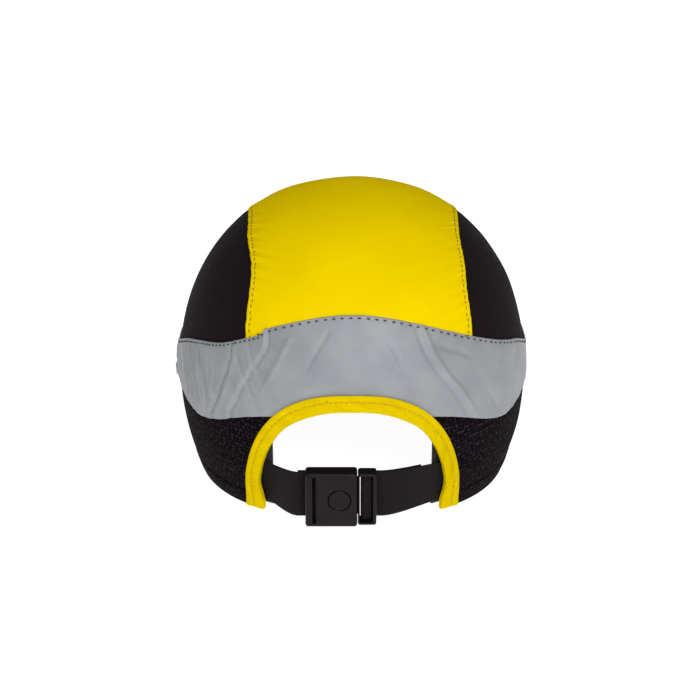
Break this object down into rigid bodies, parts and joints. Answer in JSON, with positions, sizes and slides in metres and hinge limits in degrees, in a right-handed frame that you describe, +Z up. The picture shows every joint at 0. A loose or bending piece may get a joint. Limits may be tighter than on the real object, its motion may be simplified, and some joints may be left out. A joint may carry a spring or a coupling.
{
  "type": "bump cap",
  "caption": "Baseball-style bump cap: fabric panels over a hard shell, peak, reflective band, rear arch opening and a webbing strap closed by a push-button buckle.",
  "frame": {"origin": "on the resting plane, under the middle of the whole cap with its peak", "axes": "+X towards the wearer's left, -Y towards the peak, +Y towards the strap and buckle, +Z up through the crown"},
  "size_m": [0.19, 0.2764, 0.148],
  "materials": {
    "yellow_polyester": "woven polyester, satin, hi-vis yellow",
    "reflective_fabric": "silver-grey retroreflective fabric",
    "fine_black_mesh": "fine knitted mesh, matte black",
    "black_spacer_mesh": "spacer mesh, matte black",
    "black_webbing": "ribbed polypropylene webbing, black",
    "black_buckle_plastic": "satin black acetal",
    "black_shell_plastic": "moulded ABS, fine matte grain",
    "grey_foam": "closed-cell EVA foam, matte",
    "sweatband_cloth": "terry cloth, black",
    "black_tape": "woven tape and hook-and-loop, black",
    "label_cloth": "white satin label with no print",
    "peak_board": "moulded polyethylene board",
    "spring_steel": "bright spring wire"
  },
  "bodies": {
    "cap": {"crown_panel": "yellow_polyester", "front_panel": "yellow_polyester", "arch_binding": "yellow_polyester", "peak_cover_top": "yellow_polyester", "peak_piping": "yellow_polyester", "side_panel_left": "fine_black_mesh", "side_panel_right": "fine_black_mesh", "rim_binding": "fine_black_mesh", "peak_cover_under": "fine_black_mesh", "lower_panel_left": "black_spacer_mesh", "lower_panel_right": "black_spacer_mesh", "reflective_band": "reflective_fabric", "strap_left": "black_webbing", "strap_right": "black_webbing", "buckle_body": "black_buckle_plastic", "button_spring": "spring_steel", "shell": "black_shell_plastic", "crown_pad": "grey_foam", "front_pad": "grey_foam", "rear_pad": "grey_foam", "side_pad_left": "grey_foam", "side_pad_right": "grey_foam", "sweatband": "sweatband_cloth", "seam_tape_left": "black_tape", "seam_tape_right": "black_tape", "hook_tab_front": "black_tape", "hook_tab_rear": "black_tape", "hook_tab_left": "black_tape", "hook_tab_right": "black_tape", "care_label": "label_cloth", "peak_board": "peak_board"},
    "plug": {"buckle_plug": "black_buckle_plastic"},
    "button": {"buckle_button": "black_buckle_plastic"}
  },
  "joints": [
    {"name": "button_press", "type": "slide", "parent": "cap", "child": "button", "axis": [0, -1, 0], "range_m": [0, 0.0013], "stiffness_N_per_m": 400, "deforming": ["button_spring"]},
    {"name": "plug_slide", "type": "slide", "parent": "cap", "child": "plug", "axis": [-1, 0, 0], "range_m": [0, 0.022], "deforming": ["strap_right"]}
  ]
}
